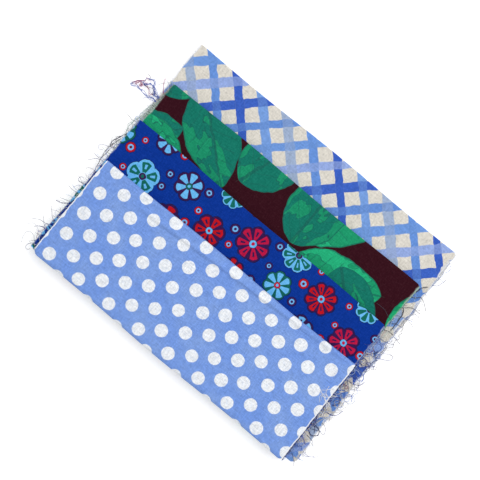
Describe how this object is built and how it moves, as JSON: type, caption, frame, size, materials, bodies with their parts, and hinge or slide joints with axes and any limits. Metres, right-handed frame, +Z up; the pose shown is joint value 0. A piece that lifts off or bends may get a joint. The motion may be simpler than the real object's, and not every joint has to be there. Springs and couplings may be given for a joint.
{
  "type": "stack of quarter yard cuts",
  "caption": "Stack of folded quarter yard cuts of printed quilting cotton, each folded to a strip and stepped back so every print shows, with frayed raw ends.",
  "frame": {"origin": "middle of the stack's footprint, on the surface it lies on", "axes": "+X along the nine inch length, from the left raw ends to the right ones; +Y from the flush folds to the stepped folds; +Z up"},
  "size_m": [0.2656, 0.1912, 0.0181],
  "materials": {
    "check_cotton": "printed plain weave cotton, diagonal check in blues on cream",
    "check_threads": "loose cotton threads, cream and blue",
    "leaf_cotton": "printed plain weave cotton, green leaves on maroon",
    "leaf_threads": "loose cotton threads, pale green and maroon",
    "flower_cotton": "printed plain weave cotton, flowers on cobalt blue",
    "flower_threads": "loose cotton threads, blue",
    "dot_cotton": "printed plain weave cotton, white dots on periwinkle blue",
    "dot_threads": "loose cotton threads, pale blue"
  },
  "bodies": {
    "root": {"check_cut": "check_cotton", "check_fray_left": "check_threads", "check_fray_right": "check_threads", "leaf_cut": "leaf_cotton", "leaf_fray_left": "leaf_threads", "leaf_fray_right": "leaf_threads", "flower_cut": "flower_cotton", "flower_fray_left": "flower_threads", "flower_fray_right": "flower_threads", "dot_cut": "dot_cotton", "dot_fray_left": "dot_threads", "dot_fray_right": "dot_threads"}
  },
  "joints": []
}
